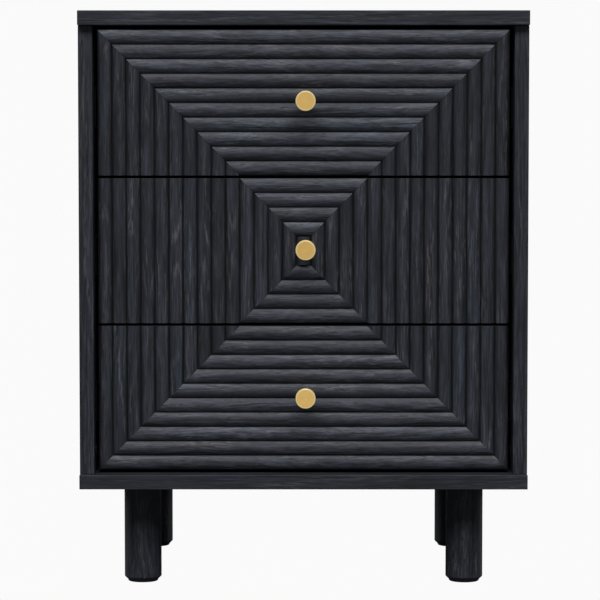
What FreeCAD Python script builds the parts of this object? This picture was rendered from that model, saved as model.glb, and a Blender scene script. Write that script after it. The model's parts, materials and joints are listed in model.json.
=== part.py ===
import FreeCAD, Part
import os

# A bedside cabinet: three drawers behind one reeded front, on four round legs.
# Millimetres, +Z up. The front faces -Y; left and right are as seen from the front.
# The origin is on the floor, under the centre of the whole object, knobs included.

# Carcass
cabinet_width = 500.0
cabinet_depth = 400.0  # without the knobs
cabinet_height = 645.0
board_thickness = 16.0
leg_height = 113.0  # floor to the underside of the bottom panel
side_setback = 9.0  # front edges of the sides behind those of the top and bottom
edge_rounding = 0.6

# Back panel, in a rebate around the rear of the carcass
back_thickness = 5.0
back_clearance = 0.5
rebate_width = 8.0
back_recess = 1.0  # outside of the back panel in from the back of the cabinet
back_screws_up_a_side = 4
back_screws_across = 3
back_screw_end_distance = 40.0

# Legs
leg_diameter = 42.0
leg_inset = 67.0  # axis of a leg from the outside of the cabinet, both ways
leg_chamfer = 3.5
leg_bolt_radius = 4.0
leg_bolt_in_leg = 30.0
leg_bolt_in_panel = 11.0
insert_wall = 1.5
insert_length = 12.0
glide_radius = 17.2
glide_thickness = 2.0
glide_pin_radius = 2.0
glide_pin_length = 10.0

# Carcass joints: dowels, and bolts drawn in by cam locks
dowel_radius = 3.9
dowel_in_panel = 10.0
dowel_in_side = 20.0
dowel_end_distance = 70.0
cam_end_distance = 38.0
cam_radius = 7.4
cam_distance = 24.0  # cam's axis from the edge that it draws in
cam_floor = 0.8  # metal under the hollow for the bolt's head
bolt_thread_radius = 2.5
bolt_thread_length = 10.0
bolt_collar_radius = 3.9
bolt_collar_length = 2.0
bolt_neck_radius = 1.8
bolt_head_radius = 3.2
bolt_head_length = 3.0

# Drawer fronts
front_side_gap = 4.5
front_top_gap = 4.5
front_bottom_gap = 3.5
front_gap = 3.0  # between one front and the next
front_thickness = 15.0
reed_setback = 19.0  # crests of the reeds behind the front edge of the top panel
reed_thickness = 5.5
reed_edge_thickness = 2.4
reed_gap = 0.8
mitre_gap = 0.3
reeds_per_front = 10
reed_rings = 14

# Knobs
knob_reach = 25.0  # knob's face in front of the reeds
knob_diameter = 22.4
knob_head_thickness = 8.0
knob_chamfer = 0.8
knob_stem_radius = 5.0
knob_stem_clearance = 0.5
knob_right = 2.3  # right of the middle of its front
knob_up = 1.7  # above the middle of its front
knob_thread_radius = 2.0
knob_thread_length = 12.0

# Drawer boxes
box_thickness = 12.0
box_bottom_thickness = 5.0
box_bottom_height = 10.0  # underside of the bottom above the sides' lower edges
box_groove = 6.0
box_below = 16.0  # box above the lower edge of its front
box_above = 26.0  # box below the upper edge of its front
box_rear_gap = 34.5  # box to the back panel
box_cam_radius = 5.9
box_cam_distance = 20.0
box_fixing_distance = 22.0  # cams and screws from the box's upper and lower edges

# Ball-bearing runners; across them, depths count from the side panel inwards
rail_thickness = 12.7  # side panel to drawer box
rail_wall = 1.2
rail_front_gap = 2.5  # rail behind the front board
rail_rear_gap = 17.5  # rail short of the box's rear end
rail_end_stop = 10.0  # rail length that the travel leaves unused
rail_screw_distance = 35.0  # screws from the ends of the rails
cabinet_rail_height = 45.0
cabinet_rail_gap = 1.9  # mouth of the cabinet rail to the drawer box
middle_rail_gap = 1.3  # mouth of the middle rail to the drawer box
screw_head_gap = 0.8  # heads of the cabinet rail's screws to the middle rail
inner_rail_gap = 1.2  # web of the middle rail to the drawer rail
rail_lip = 2.5
ball_radius = 1.6
ball_clearance = 0.3
balls_per_row = 5
cage_gap = 0.5  # beside the inner cages
cage_thickness = 1.6
access_hole_radius = 4.5

# Screws: head radius, head height, shank radius, length under the head
back_screw_size = (3.0, 1.0, 1.4, 13.0)
rail_screw_size = (3.3, 1.6, 1.7, 11.0)
box_screw_size = (3.3, 2.2, 1.7, 34.0)
bottom_screw_size = (3.0, 2.0, 1.5, 20.0)
bottom_screws = 3
knob_screw_size = (4.0, 2.4, 1.9, 25.0)
recess_width = 0.7

# Clearances
hole_clearance = 0.1  # all round a pin, screw, bolt or cam
hole_end_clearance = 0.5
groove_clearance = 0.15

# Places worked out from the sizes
half_width = cabinet_width / 2
half_inside = half_width - board_thickness
knob_overhang = max(0.0, knob_reach - reed_setback)
cabinet_front = -(cabinet_depth - knob_overhang) / 2
cabinet_back = cabinet_front + cabinet_depth
side_front = cabinet_front + side_setback
side_bottom = leg_height + board_thickness
side_top = cabinet_height - board_thickness
back_front = cabinet_back - back_recess - back_thickness
leg_radius = leg_diameter / 2
leg_xs = (-half_width + leg_inset, half_width - leg_inset)
leg_ys = (cabinet_front + leg_inset, cabinet_back - leg_inset)

drawer_names = ("bottom", "middle", "top")
half_front = half_inside - front_side_gap
reed_front = cabinet_front + reed_setback
front_face = reed_front + reed_thickness
front_rear = front_face + front_thickness
fronts_height = side_top - side_bottom - front_top_gap - front_bottom_gap
front_height = (fronts_height - front_gap * (len(drawer_names) - 1)) / len(drawer_names)
reed_pitch_across = 2 * half_front / (2 * reed_rings + 1)
reed_pitch_up = front_height / reeds_per_front
knob_face = reed_front - knob_reach
knob_rear = knob_face + knob_head_thickness

half_box = half_inside - rail_thickness
half_box_inside = half_box - box_thickness
box_rear = back_front - box_rear_gap
rail_front = front_rear + rail_front_gap
rail_rear = box_rear - rail_rear_gap
rail_length = rail_rear - rail_front
drawer_travel = rail_length - rail_end_stop
cabinet_rail_end = rail_thickness - cabinet_rail_gap
middle_rail_start = rail_wall + rail_screw_size[1] + screw_head_gap
middle_rail_end = rail_thickness - middle_rail_gap
drawer_rail_start = middle_rail_start + rail_wall + inner_rail_gap
outer_cage_middle = (middle_rail_start + cabinet_rail_end - rail_wall) / 2
inner_cage_middle = (middle_rail_start + middle_rail_end) / 2
cage_width = middle_rail_end - middle_rail_start - 2 * (rail_wall + cage_gap)
ball_track = 2 * (ball_radius + ball_clearance)
middle_rail_height = cabinet_rail_height - 2 * (rail_wall + ball_track)
drawer_rail_height = middle_rail_height - 2 * (rail_wall + ball_track)

right = FreeCAD.Vector(1, 0, 0)
rearward = FreeCAD.Vector(0, 1, 0)
up = FreeCAD.Vector(0, 0, 1)


def block(x0, x1, y0, y1, z0, z1):
    """A box between opposite corners, given in either order."""
    low = FreeCAD.Vector(min(x0, x1), min(y0, y1), min(z0, z1))
    return Part.makeBox(abs(x1 - x0), abs(y1 - y0), abs(z1 - z0), low)


def board(x0, x1, y0, y1, z0, z1):
    """A box with slightly rounded edges."""
    blank = block(x0, x1, y0, y1, z0, z1)
    return blank.makeFillet(edge_rounding, blank.Edges)


def rod(base, direction, radius, length):
    return Part.makeCylinder(radius, length, base, direction)


def turned(outline):
    """A solid turned about Z from (radius, height) points that start and end on the axis."""
    points = [FreeCAD.Vector(radius, 0, height) for radius, height in outline]
    face = Part.Face(Part.makePolygon(points + points[:1]))
    return face.revolve(FreeCAD.Vector(), up, 360)


def seated(shape, place, direction):
    """A copy of a shape made along +Z, turned to point along a direction."""
    copy = shape.copy()
    copy.Placement = FreeCAD.Placement(place, FreeCAD.Rotation(up, direction))
    return copy


def cut_all(shape, cutters):
    return shape.cut(Part.makeCompound(list(cutters)))


def write(node, solids):
    shape = solids if isinstance(solids, Part.Solid) else Part.makeCompound(solids)
    if len(shape.Solids) == 1:
        shape = shape.Solids[0]
    shape.exportStep(os.path.join("parts", node + ".step"))


def cross_recess(radius, depth):
    """A cross-shaped cutter whose mouth is at height 0."""
    arm = block(-radius, radius, -recess_width / 2, recess_width / 2, -depth, depth)
    other = block(-recess_width / 2, recess_width / 2, -radius, radius, -depth, depth)
    return arm.fuse(other)


def pan_screw(size):
    """A screw with a raised head, which seats at height 0 and points down."""
    head, rise, shank, length = size
    outline = [(0, -length), (shank, -length + 2 * shank), (shank, 0), (head, 0)]
    outline += [(head, rise / 2), (0.7 * head, rise), (0, rise)]
    recess = cross_recess(0.55 * head, 0.6 * rise)
    recess.translate(up * rise)
    return turned(outline).cut(recess)


def flat_screw_blank(size, clearance=0.0):
    head, rise, shank, length = size
    outline = [(0, -length), (shank + clearance, -length + 2 * shank)]
    outline += [(shank + clearance, -rise), (head + clearance, 0), (0, 0)]
    return turned(outline)


def flat_screw(size):
    """A screw with a countersunk head, flush at height 0."""
    head, rise = size[:2]
    return flat_screw_blank(size).cut(cross_recess(0.6 * head, 0.6 * rise))


def screw_hole(size, place, outward):
    """The pilot hole of a screw whose head seats at a place."""
    shank, length = size[2:]
    return rod(place, -outward, shank + hole_clearance, length + hole_end_clearance)


def corner_points(end_distance):
    """Places on the sides' upper and lower edges, each with the way into the panel there."""
    points = []
    for side in (-1, 1):
        x = side * (half_width - board_thickness / 2)
        for y in (side_front + end_distance, cabinet_back - end_distance):
            points.append((FreeCAD.Vector(x, y, side_bottom), -up))
            points.append((FreeCAD.Vector(x, y, side_top), up))
    return points


dowel_points = corner_points(dowel_end_distance)
cam_points = corner_points(cam_end_distance)


def make_bolt(distance):
    """A cam bolt: its thread runs up from height 0, its head is in the cam below."""
    tip = -distance - bolt_head_length / 2
    outline = [(0, tip), (bolt_head_radius, tip), (bolt_head_radius, tip + bolt_head_length)]
    outline += [(bolt_neck_radius, tip + bolt_head_length), (bolt_neck_radius, -bolt_collar_length)]
    outline += [(bolt_collar_radius, -bolt_collar_length), (bolt_collar_radius, 0)]
    outline += [(bolt_thread_radius, 0), (bolt_thread_radius, bolt_thread_length)]
    outline.append((0, bolt_thread_length))
    return turned(outline)


def bolt_thread_hole(point, direction):
    depth = bolt_thread_length + hole_end_clearance
    return rod(point, direction, bolt_thread_radius + hole_clearance, depth)


def bolt_shank_hole(point, direction, distance):
    return rod(point, -direction, bolt_collar_radius + hole_clearance, distance)


def cam_mouth(point, direction, mouth, distance, thickness):
    """The centre of a cam's face, which is flush with the board's surface."""
    return point - direction * distance + mouth * (thickness / 2)


def cam_depth(thickness):
    return thickness / 2 + bolt_head_radius + 2 * hole_clearance + cam_floor


def cam_bore(centre, mouth, radius, thickness):
    return rod(centre, -mouth, radius + hole_clearance, cam_depth(thickness) + hole_clearance)


def make_cam(centre, mouth, direction, radius, thickness):
    """A cam lock with a slotted face and a hollow for the head of its bolt."""
    depth = cam_depth(thickness)
    body = rod(centre, -mouth, radius, depth)
    middle = centre - mouth * (thickness / 2)
    start = middle - direction * bolt_head_length
    hollow = rod(start, direction, bolt_head_radius + 2 * hole_clearance, bolt_head_length + radius)
    slot = seated(cross_recess(0.5 * radius, 0.15 * depth), centre, mouth)
    return body.cut(hollow).cut(slot)


def inward(point):
    """The direction along X that points from a place to the middle of the cabinet."""
    return right if point.x < 0 else -right


def leg_points():
    for x in leg_xs:
        for y in leg_ys:
            yield FreeCAD.Vector(x, y, leg_height)


def build_panels():
    dowel_holes = []
    for point, direction in dowel_points:
        start = point - direction * (dowel_in_side + hole_end_clearance)
        length = dowel_in_side + dowel_in_panel + 2 * hole_end_clearance
        dowel_holes.append(rod(start, direction, dowel_radius + hole_clearance, length))
    thread_holes = [bolt_thread_hole(point, direction) for point, direction in cam_points]
    half_rebate = half_inside + rebate_width
    low_rebate = side_bottom - rebate_width
    high_rebate = side_top + rebate_width
    rebate = block(-half_rebate, half_rebate, back_front, cabinet_back, low_rebate, high_rebate)
    screw_holes = [screw_hole(back_screw_size, point, rearward) for point in back_screw_points()]
    shared = [rebate] + dowel_holes + thread_holes + screw_holes

    top = board(-half_width, half_width, cabinet_front, cabinet_back, side_top, cabinet_height)
    write("top_panel", cut_all(top, shared))

    insert_bore = leg_bolt_radius + 2 * hole_clearance + insert_wall
    inserts = [rod(p, up, insert_bore, insert_length + hole_end_clearance) for p in leg_points()]
    bottom = board(-half_width, half_width, cabinet_front, cabinet_back, leg_height, side_bottom)
    write("bottom_panel", cut_all(bottom, shared + inserts))

    for name, side in (("left", -1), ("right", 1)):
        inside, outside = side * half_inside, side * half_width
        panel = board(inside, outside, side_front, cabinet_back, side_bottom, side_top)
        cutters = [rebate] + dowel_holes + screw_holes
        for point, direction in cam_points:
            centre = cam_mouth(point, direction, inward(point), cam_distance, board_thickness)
            cutters.append(bolt_shank_hole(point, direction, cam_distance))
            cutters.append(cam_bore(centre, inward(point), cam_radius, board_thickness))
        for index in range(len(drawer_names)):
            for y in rail_screw_ys():
                place = FreeCAD.Vector(side * (half_inside - rail_wall), y, rail_height_centre(index))
                cutters.append(screw_hole(rail_screw_size, place, inward(place)))
        write(name + "_side_panel", cut_all(panel, cutters))


def back_screw_points():
    """Where the back panel's screws seat, along the middle of the rebate's ledge."""
    y = back_front + back_thickness
    x = half_inside + rebate_width / 2
    low = side_bottom + back_screw_end_distance
    step = (side_top - back_screw_end_distance - low) / (back_screws_up_a_side - 1)
    points = []
    for row in range(back_screws_up_a_side):
        for side in (-1, 1):
            points.append(FreeCAD.Vector(side * x, y, low + row * step))
    spacing = 2 * half_inside / back_screws_across
    for column in range(back_screws_across):
        across = -half_inside + (column + 0.5) * spacing
        points.append(FreeCAD.Vector(across, y, side_bottom - rebate_width / 2))
        points.append(FreeCAD.Vector(across, y, side_top + rebate_width / 2))
    return points


def build_back():
    half = half_inside + rebate_width - back_clearance
    low = side_bottom - rebate_width + back_clearance
    high = side_top + rebate_width - back_clearance
    panel = block(-half, half, back_front, back_front + back_thickness, low, high)
    holes = [screw_hole(back_screw_size, point, rearward) for point in back_screw_points()]
    write("back_panel", cut_all(panel, holes))
    screw = pan_screw(back_screw_size)
    write("back_panel_screws", [seated(screw, point, rearward) for point in back_screw_points()])


def build_legs():
    length = leg_height - glide_thickness
    foot = leg_radius - leg_chamfer
    leg = turned([(0, 0), (foot, 0), (leg_radius, leg_chamfer), (leg_radius, length), (0, length)])
    bolt_hole = leg_bolt_in_leg + hole_end_clearance
    leg = leg.cut(rod(up * length, -up, leg_bolt_radius + hole_clearance, bolt_hole))
    pin_hole = glide_pin_length + hole_end_clearance
    leg = leg.cut(rod(up * 0, up, glide_pin_radius + hole_clearance, pin_hole))
    names = ("front_left_leg", "rear_left_leg", "front_right_leg", "rear_right_leg")
    for name, point in zip(names, leg_points()):
        write(name, seated(leg, FreeCAD.Vector(point.x, point.y, glide_thickness), up))

    bolt_length = leg_bolt_in_leg + leg_bolt_in_panel
    bolts = [rod(p - up * leg_bolt_in_leg, up, leg_bolt_radius, bolt_length) for p in leg_points()]
    write("leg_bolts", bolts)

    bore = leg_bolt_radius + hole_clearance
    inserts = []
    for point in leg_points():
        outside = rod(point, up, bore + insert_wall, insert_length)
        inserts.append(outside.cut(rod(point, up, bore, insert_length)))
    write("leg_inserts", inserts)

    top = glide_thickness + glide_pin_length
    glide = turned([(0, 0), (glide_radius - glide_thickness / 2, 0), (glide_radius, glide_thickness / 2),
                    (glide_radius, glide_thickness), (glide_pin_radius, glide_thickness),
                    (glide_pin_radius, top), (0, top)])
    write("leg_glides", [seated(glide, FreeCAD.Vector(p.x, p.y, 0), up) for p in leg_points()])


def build_carcass_fixings():
    length = dowel_in_side + dowel_in_panel
    dowels = [rod(p - d * dowel_in_side, d, dowel_radius, length) for p, d in dowel_points]
    write("dowels", dowels)
    bolt = make_bolt(cam_distance)
    write("cam_bolts", [seated(bolt, point, direction) for point, direction in cam_points])
    cams = []
    for point, direction in cam_points:
        mouth = inward(point)
        centre = cam_mouth(point, direction, mouth, cam_distance, board_thickness)
        cams.append(make_cam(centre, mouth, direction, cam_radius, board_thickness))
    write("cam_locks", cams)


def front_bottom(index):
    return side_bottom + front_bottom_gap + index * (front_height + front_gap)


def box_low(index):
    return front_bottom(index) + box_below


def box_high(index):
    return front_bottom(index) + front_height - box_above


def rail_height_centre(index):
    return (box_low(index) + box_high(index)) / 2


def rail_screw_ys():
    return (rail_front + rail_screw_distance, rail_rear - rail_screw_distance)


def knob_axis(index, y):
    middle = front_bottom(index) + front_height / 2
    return FreeCAD.Vector(knob_right, y, middle + knob_up)


def ring_half_width(ring):
    return half_front - ring * reed_pitch_across


def ring_high(index, ring):
    """Where the upper run of a ring of reeds starts on a front, or the front's upper edge."""
    rings_above = (len(drawer_names) - 1 - index) * reeds_per_front
    return front_bottom(index) + front_height - reed_pitch_up * max(0, ring - rings_above)


def ring_low(index, ring):
    """Where the lower run of a ring of reeds starts on a front, or the front's lower edge."""
    rings_below = index * reeds_per_front
    return front_bottom(index) + reed_pitch_up * max(0, ring - rings_below)


def reed_arc(start, crest, end, along):
    """A reed of endless length: a rounded face on a thin square edge."""
    edge = rearward * reed_edge_thickness
    back = rearward * reed_thickness
    low, high = start + back, end + back
    corners = [high - edge, high, low, low - edge]
    outline = [Part.LineSegment(a, b).toShape() for a, b in zip(corners, corners[1:])]
    outline.append(Part.Arc(low - edge, crest, high - edge).toShape())
    return Part.Face(Part.Wire(outline)).extrude(along)


def upright_reed(centre, index):
    half = (reed_pitch_across - reed_gap) / 2
    place = FreeCAD.Vector(centre, reed_front, front_bottom(index))
    return reed_arc(place - right * half, place, place + right * half, up * front_height)


def level_reed(centre):
    half = (reed_pitch_up - reed_gap) / 2
    place = FreeCAD.Vector(-half_front, reed_front, centre)
    return reed_arc(place - up * half, place, place + up * half, right * 2 * half_front)


def trimmed(reed, corners):
    """A reed cut to an outline, given as its corners across and up."""
    points = [FreeCAD.Vector(x, reed_front, z) for x, z in corners]
    outline = Part.Face(Part.makePolygon(points + points[:1]))
    return reed.common(outline.extrude(rearward * reed_thickness)).Solids


def upright_reeds(index):
    """The reeds of the left and right quarters, mitred at the rings' corners."""
    reeds = []
    for ring in range(reed_rings):
        outer, inner = ring_half_width(ring), ring_half_width(ring + 1)
        high, high_inner = ring_high(index, ring), ring_high(index, ring + 1)
        low, low_inner = ring_low(index, ring), ring_low(index, ring + 1)
        if high - low < reed_pitch_up / 2:
            break
        for side in (-1, 1):
            corners = [(side * outer, low), (side * outer, high), (side * inner, high_inner)]
            if high_inner - low_inner > reed_pitch_up / 2:
                corners.append((side * inner, low_inner))
            reeds += trimmed(upright_reed(side * (outer + inner) / 2, index), corners)
    return reeds


def level_reeds(index):
    """The reeds of the upper and lower quarters that cross this front."""
    reeds = []
    for ring in range(reed_rings):
        outer = ring_half_width(ring) - mitre_gap
        inner = ring_half_width(ring + 1) - mitre_gap
        for edge in (ring_high, ring_low):
            start, end = edge(index, ring), edge(index, ring + 1)
            runs_here = abs(end - start) > reed_pitch_up / 2
            inside = front_bottom(index) < (start + end) / 2 < front_bottom(index) + front_height
            if runs_here and inside:
                corners = [(-outer, start), (outer, start), (inner, end), (-inner, end)]
                reeds += trimmed(level_reed((start + end) / 2), corners)
    return reeds


def centre_reed(index):
    """The short upright reed in the middle of the whole front, on the drawer that holds it."""
    high, low = ring_high(index, reed_rings), ring_low(index, reed_rings)
    if high - low < reed_pitch_up / 2:
        return []
    half = ring_half_width(reed_rings)
    low += reed_gap / 2
    high -= reed_gap / 2
    return trimmed(upright_reed(0, index), [(-half, low), (half, low), (half, high), (-half, high)])


def build_front(index, drawer):
    """The front board, the reeds glued on it, and the knob that stands through them."""
    low = front_bottom(index)
    panel = block(-half_front, half_front, front_face, front_rear, low, low + front_height)
    groove_low = box_low(index) + box_bottom_height - groove_clearance
    groove_high = groove_low + box_bottom_thickness + 2 * groove_clearance
    half_groove = half_box_inside + box_groove
    groove_floor = front_rear - box_groove
    groove = block(-half_groove, half_groove, groove_floor, front_rear, groove_low, groove_high)
    screw_hole_radius = knob_screw_size[2] + hole_clearance
    cutters = [groove, rod(knob_axis(index, front_face), rearward, screw_hole_radius, front_thickness)]
    cutters += [bolt_thread_hole(point, -rearward) for point in box_cam_points(index)]
    write(drawer + "_drawer_front_board", cut_all(panel, cutters))

    stem_hole = knob_stem_radius + knob_stem_clearance
    hole = rod(knob_axis(index, reed_front), rearward, stem_hole, reed_thickness)
    reeds = upright_reeds(index) + level_reeds(index) + centre_reed(index)
    whole = []
    for reed in reeds:
        whole += reed.cut(hole).Solids
    write(drawer + "_drawer_reeds", whole)

    radius = knob_diameter / 2
    stem = front_face - knob_rear
    length = front_face - knob_face
    outline = [(0, 0), (knob_stem_radius, 0), (knob_stem_radius, stem - knob_chamfer)]
    outline += [(knob_stem_radius + knob_chamfer, stem), (radius - knob_chamfer, stem)]
    outline += [(radius, stem + knob_chamfer), (radius, length - knob_chamfer)]
    outline += [(radius - knob_chamfer, length), (0, length)]
    thread = rod(up * 0, up, knob_thread_radius, knob_thread_length)
    knob = turned(outline).cut(thread)
    write(drawer + "_drawer_knob", seated(knob, knob_axis(index, front_face), -rearward))


def box_cam_points(index):
    """Where the box sides' cam bolts enter the front board."""
    x = half_box - box_thickness / 2
    heights = (box_low(index) + box_fixing_distance, box_high(index) - box_fixing_distance)
    return [FreeCAD.Vector(side * x, front_rear, z) for side in (-1, 1) for z in heights]


def box_screw_points(index, side):
    """Where the screws through a box side into the box's back seat."""
    y = box_rear - box_thickness / 2
    low = box_low(index) + box_bottom_height + box_fixing_distance
    high = box_high(index) - box_fixing_distance
    return [FreeCAD.Vector(side * half_box, y, z) for z in (low, high)]


def bottom_screw_points(index):
    """Where the screws up through the box's bottom into its back seat."""
    z = box_low(index) + box_bottom_height
    step = 2 * half_box_inside / bottom_screws
    xs = [-half_box_inside + (column + 0.5) * step for column in range(bottom_screws)]
    return [FreeCAD.Vector(x, box_rear - box_thickness / 2, z) for x in xs]


def drawer_rail_points(index, side):
    """Where the drawer rail's screws seat, on the inside of the rail's web."""
    x = side * (half_box + rail_wall)
    return [FreeCAD.Vector(x, y, rail_height_centre(index)) for y in rail_screw_ys()]


def box_screw_cutter(place, outward):
    return seated(flat_screw_blank(box_screw_size, hole_clearance), place, outward)


def bottom_screw_cutter(place):
    return seated(flat_screw_blank(bottom_screw_size, hole_clearance), place, -up)


def build_box(index, drawer):
    low, high = box_low(index), box_high(index)
    bottom_low = low + box_bottom_height
    bottom_high = bottom_low + box_bottom_thickness
    half_bottom = half_box_inside + box_groove - groove_clearance
    bottom_front = front_rear - box_groove + groove_clearance

    for name, side in (("left", -1), ("right", 1)):
        panel = board(side * half_box_inside, side * half_box, front_rear, box_rear, low, high)
        groove_low = bottom_low - groove_clearance
        groove_high = bottom_high + groove_clearance
        groove_x = side * (half_box_inside + box_groove)
        cutters = [block(side * half_box_inside, groove_x, front_rear, box_rear, groove_low, groove_high)]
        for point in box_cam_points(index):
            centre = cam_mouth(point, -rearward, inward(point), box_cam_distance, box_thickness)
            cutters.append(bolt_shank_hole(point, -rearward, box_cam_distance))
            cutters.append(cam_bore(centre, inward(point), box_cam_radius, box_thickness))
        outward = right * side
        cutters += [box_screw_cutter(point, outward) for point in box_screw_points(index, side)]
        for point in drawer_rail_points(index, side):
            cutters.append(screw_hole(rail_screw_size, point, outward))
        write("%s_drawer_%s_side" % (drawer, name), cut_all(panel, cutters))

    back = board(-half_box_inside, half_box_inside, box_rear - box_thickness, box_rear, bottom_high, high)
    cutters = [bottom_screw_cutter(point) for point in bottom_screw_points(index)]
    for side in (-1, 1):
        cutters += [box_screw_cutter(point, right * side) for point in box_screw_points(index, side)]
    write(drawer + "_drawer_back", cut_all(back, cutters))

    bottom = block(-half_bottom, half_bottom, bottom_front, box_rear, bottom_low, bottom_high)
    cutters = [bottom_screw_cutter(point) for point in bottom_screw_points(index)]
    write(drawer + "_drawer_bottom", cut_all(bottom, cutters))


def build_drawer_fixings(index, drawer):
    bolt = make_bolt(box_cam_distance)
    cams = []
    for point in box_cam_points(index):
        mouth = inward(point)
        centre = cam_mouth(point, -rearward, mouth, box_cam_distance, box_thickness)
        cams.append(seated(bolt, point, -rearward))
        cams.append(make_cam(centre, mouth, -rearward, box_cam_radius, box_thickness))
    write(drawer + "_drawer_cams", cams)

    rail_screw = pan_screw(rail_screw_size)
    box_screw = flat_screw(box_screw_size)
    bottom_screw = flat_screw(bottom_screw_size)
    screws = [seated(pan_screw(knob_screw_size), knob_axis(index, front_rear), rearward)]
    screws += [seated(bottom_screw, point, -up) for point in bottom_screw_points(index)]
    for side in (-1, 1):
        screws += [seated(box_screw, point, right * side) for point in box_screw_points(index, side)]
        screws += [seated(rail_screw, point, right * side) for point in drawer_rail_points(index, side)]
    write(drawer + "_drawer_screws", screws)


def channel(side, centre, web, mouth, height, lip):
    """A rail: a web, two flanges and, with a lip, their ends turned in towards each other.

    web and mouth are depths from the side panel, so the channel can open either way.
    """
    facing = 1 if mouth > web else -1
    half = height / 2

    def slab(start, end, half_height):
        outer, inner = side * (half_inside - start), side * (half_inside - end)
        return block(outer, inner, rail_front, rail_rear, centre - half_height, centre + half_height)

    inside = slab(web + facing * rail_wall, mouth - facing * lip_wall(lip), half - rail_wall)
    opening = slab(mouth - facing * rail_wall, mouth, half - rail_wall - lip)
    return slab(web, mouth, half).cut(inside).cut(opening)


def lip_wall(lip):
    return rail_wall if lip else 0.0


def web_holes(side, index, radius):
    """Holes along the screws of the runner on one side, through every rail."""
    holes = []
    for y in rail_screw_ys():
        start = FreeCAD.Vector(side * half_inside, y, rail_height_centre(index))
        holes.append(rod(start, -right * side, radius, rail_thickness))
    return holes


def ball_cages(side, index, depth, height):
    """The two ball cages of one runner, above and below the rail that they carry."""
    solids = []
    length = rail_length / 2
    middle = (rail_front + rail_rear) / 2
    spacing = length / balls_per_row
    x = side * (half_inside - depth)
    for way in (-1, 1):
        z = rail_height_centre(index) + way * (height / 2 + ball_track / 2)
        cage = block(x - cage_width / 2, x + cage_width / 2, middle - length / 2, middle + length / 2,
                     z - cage_thickness / 2, z + cage_thickness / 2)
        for number in range(balls_per_row):
            y = middle - length / 2 + (number + 0.5) * spacing
            place = FreeCAD.Vector(x, y, z)
            hole = rod(place - up * cage_thickness, up, ball_radius + hole_clearance, 2 * cage_thickness)
            cage = cage.cut(hole)
            solids.append(Part.makeSphere(ball_radius, place))
        solids.append(cage)
    return solids


def build_runners(index, drawer):
    z = rail_height_centre(index)
    small_hole = rail_screw_size[2] + hole_clearance
    cabinet_rails, middle_rails, drawer_rails, outer_cages, inner_cages = [], [], [], [], []
    for side in (-1, 1):
        fixing_holes = web_holes(side, index, small_hole)
        access_holes = web_holes(side, index, access_hole_radius)
        rail = channel(side, z, 0, cabinet_rail_end, cabinet_rail_height, rail_lip)
        cabinet_rails.append(cut_all(rail, fixing_holes))
        rail = channel(side, z, middle_rail_start, middle_rail_end, middle_rail_height, rail_lip)
        middle_rails.append(cut_all(rail, access_holes))
        rail = channel(side, z, rail_thickness, drawer_rail_start, drawer_rail_height, 0)
        drawer_rails.append(cut_all(rail, fixing_holes))
        outer_cages += ball_cages(side, index, outer_cage_middle, middle_rail_height)
        inner_cages += ball_cages(side, index, inner_cage_middle, drawer_rail_height)
    write(drawer + "_drawer_cabinet_rails", cabinet_rails)
    write(drawer + "_drawer_middle_rails", middle_rails)
    write(drawer + "_drawer_rails", drawer_rails)
    write(drawer + "_drawer_outer_ball_cages", outer_cages)
    write(drawer + "_drawer_inner_ball_cages", inner_cages)


def build_cabinet_rail_screws():
    screw = pan_screw(rail_screw_size)
    screws = []
    for index in range(len(drawer_names)):
        for side in (-1, 1):
            for y in rail_screw_ys():
                place = FreeCAD.Vector(side * (half_inside - rail_wall), y, rail_height_centre(index))
                screws.append(seated(screw, place, -right * side))
    write("cabinet_rail_screws", screws)


os.makedirs("parts", exist_ok=True)
build_panels()
build_back()
build_legs()
build_carcass_fixings()
build_cabinet_rail_screws()
for drawer_index, drawer_name in enumerate(drawer_names):
    build_front(drawer_index, drawer_name)
    build_box(drawer_index, drawer_name)
    build_drawer_fixings(drawer_index, drawer_name)
    build_runners(drawer_index, drawer_name)
print("drawer travel", drawer_travel)
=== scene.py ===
import json
import math
import random

import bmesh
import bpy
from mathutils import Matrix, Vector


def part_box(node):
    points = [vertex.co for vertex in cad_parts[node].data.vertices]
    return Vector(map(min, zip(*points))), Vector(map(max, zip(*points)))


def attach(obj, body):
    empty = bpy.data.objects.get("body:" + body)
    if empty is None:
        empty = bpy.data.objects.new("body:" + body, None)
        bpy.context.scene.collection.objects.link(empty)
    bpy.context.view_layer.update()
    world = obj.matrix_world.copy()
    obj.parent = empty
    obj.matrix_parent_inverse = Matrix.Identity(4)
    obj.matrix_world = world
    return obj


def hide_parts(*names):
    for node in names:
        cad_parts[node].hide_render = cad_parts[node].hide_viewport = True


# A black-stained bedside cabinet: reeded drawer fronts, brass knobs and round legs.
# Metres, +Z up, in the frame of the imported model. The front faces -Y.

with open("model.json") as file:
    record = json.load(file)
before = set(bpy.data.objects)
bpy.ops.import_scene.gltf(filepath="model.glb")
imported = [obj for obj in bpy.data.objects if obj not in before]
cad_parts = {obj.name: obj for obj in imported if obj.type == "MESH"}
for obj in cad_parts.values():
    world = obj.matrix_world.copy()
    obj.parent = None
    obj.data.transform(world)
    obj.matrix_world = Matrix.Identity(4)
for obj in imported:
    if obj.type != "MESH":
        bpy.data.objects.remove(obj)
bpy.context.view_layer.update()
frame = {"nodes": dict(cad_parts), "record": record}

MM = 0.001
DRAWERS = ("bottom", "middle", "top")
LEGS = ("front_left", "front_right", "rear_left", "rear_right")

# Reeds: half-round strips, laid on the three fronts in concentric rectangles
RINGS = 14
REEDS_PER_FRONT = 10
REED_GAP = 0.8 * MM
MITRE_GAP = 0.15 * MM
REED_EDGE = 2.4 * MM
REED_SPARE = 4.0 * MM  # length that is sawn off
REED_SIDES = 96
REED_SOFTENING = 0.18 * MM

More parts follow.
